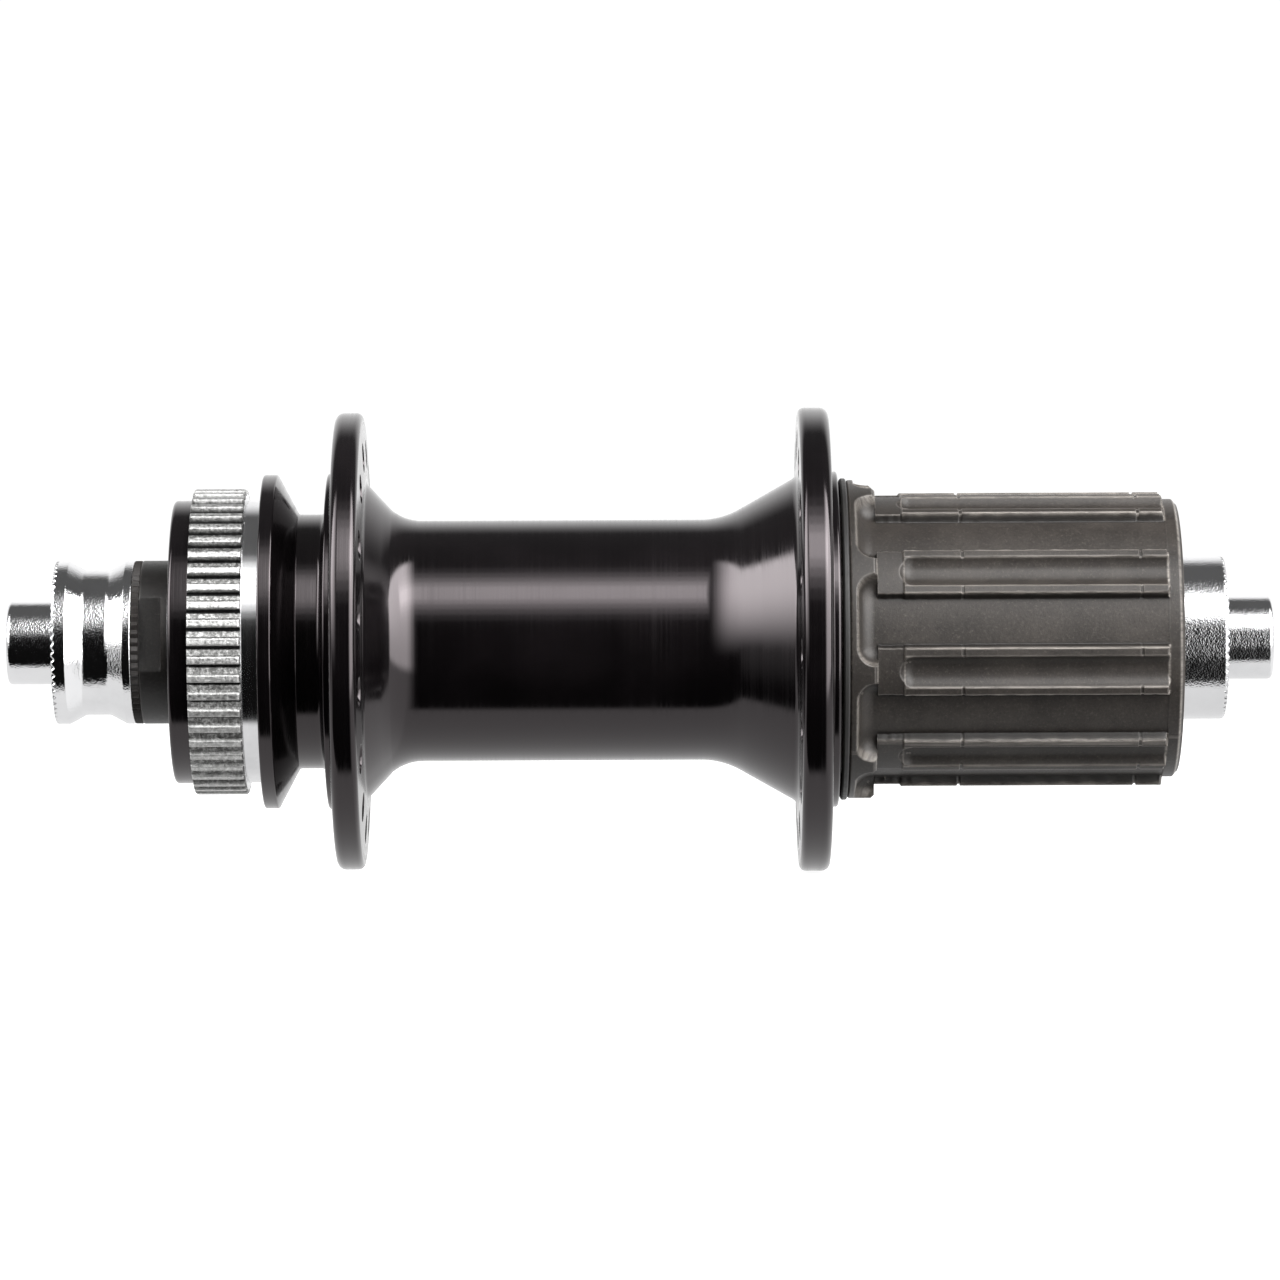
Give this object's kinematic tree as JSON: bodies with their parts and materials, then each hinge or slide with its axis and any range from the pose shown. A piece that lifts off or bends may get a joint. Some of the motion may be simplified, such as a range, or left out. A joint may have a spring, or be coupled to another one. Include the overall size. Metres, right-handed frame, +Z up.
{
  "type": "bicycle rear hub",
  "caption": "Quick-release rear bicycle hub: flanged black shell with a splined disc-rotor mount on the left and a splined freehub body for the cassette on the right.",
  "frame": {"origin": "on the hub's axis, midway between the two dropout faces and the two axle tips", "axes": "+X along the axle towards the drive side (freehub), +Z up, the camera of the source picture looks along +Y"},
  "size_m": [0.146, 0.0536, 0.0536],
  "materials": {
    "anodised_shell": "gloss black anodised",
    "chromed_steel": "bright plated",
    "black_steel": "blacked, satin",
    "freehub_steel": "dark phosphated, satin",
    "bearing_steel": "ground and polished",
    "pressed_steel": "satin",
    "rubber_seal": "matte"
  },
  "bodies": {
    "axle": {"hub_axle": "chromed_steel", "left_locknut": "chromed_steel", "left_washer": "black_steel", "left_cone": "black_steel", "left_cone_seal": "rubber_seal", "right_cone": "black_steel", "right_locknut": "chromed_steel"},
    "hub_shell": {"hub_shell": "anodised_shell", "left_bearing_cup": "bearing_steel", "left_dust_cap": "black_steel", "freehub_core": "freehub_steel", "fixing_bolt": "bearing_steel", "freehub_shim": "bearing_steel", "freehub_race": "bearing_steel", "right_dust_cap": "black_steel", "pawl_spring": "bearing_steel"},
    "freehub_body": {"freehub_body": "freehub_steel", "freehub_seal": "rubber_seal"},
    "left_bearing_balls": {"left_balls": "bearing_steel", "left_ball_retainer": "pressed_steel"},
    "right_bearing_balls": {"right_balls": "bearing_steel", "right_ball_retainer": "pressed_steel"},
    "inboard_freehub_balls": {"inboard_freehub_balls": "bearing_steel"},
    "outboard_freehub_balls": {"outboard_freehub_balls": "bearing_steel"},
    "pawl_a": {"pawl_a": "pressed_steel"},
    "pawl_b": {"pawl_b": "pressed_steel"}
  },
  "joints": [
    {"name": "shell_spin", "type": "hinge", "parent": "axle", "child": "hub_shell", "pos_m": [0, 0, 0], "axis": [1, 0, 0], "continuous": true},
    {"name": "freewheel_spin", "type": "hinge", "parent": "hub_shell", "child": "freehub_body", "pos_m": [0.043, 0, 0], "axis": [1, 0, 0], "continuous": true},
    {"name": "left_balls_orbit", "type": "hinge", "parent": "axle", "child": "left_bearing_balls", "pos_m": [-0.0432, 0, 0], "axis": [1, 0, 0], "continuous": true},
    {"name": "right_balls_orbit", "type": "hinge", "parent": "axle", "child": "right_bearing_balls", "pos_m": [0.0575, 0, 0], "axis": [1, 0, 0], "continuous": true},
    {"name": "inboard_balls_orbit", "type": "hinge", "parent": "hub_shell", "child": "inboard_freehub_balls", "pos_m": [0.026, 0, 0], "axis": [1, 0, 0], "continuous": true},
    {"name": "outboard_balls_orbit", "type": "hinge", "parent": "hub_shell", "child": "outboard_freehub_balls", "pos_m": [0.0505, 0, 0], "axis": [1, 0, 0], "continuous": true},
    {"name": "pawl_a_swing", "type": "hinge", "parent": "hub_shell", "child": "pawl_a", "pos_m": [0.033, 0.0116, 0], "axis": [1, 0, 0], "range_deg": [0, 10]},
    {"name": "pawl_b_swing", "type": "hinge", "parent": "hub_shell", "child": "pawl_b", "pos_m": [0.033, -0.0116, 0], "axis": [1, 0, 0], "range_deg": [0, 10]}
  ],
  "couplings": [
    {"joint": "left_balls_orbit", "follows": "shell_spin", "ratio": 0.5702},
    {"joint": "right_balls_orbit", "follows": "shell_spin", "ratio": 0.5702},
    {"joint": "inboard_balls_orbit", "follows": "freewheel_spin", "ratio": 0.5432},
    {"joint": "outboard_balls_orbit", "follows": "freewheel_spin", "ratio": 0.5432},
    {"joint": "pawl_b_swing", "follows": "pawl_a_swing", "ratio": 1}
  ]
}
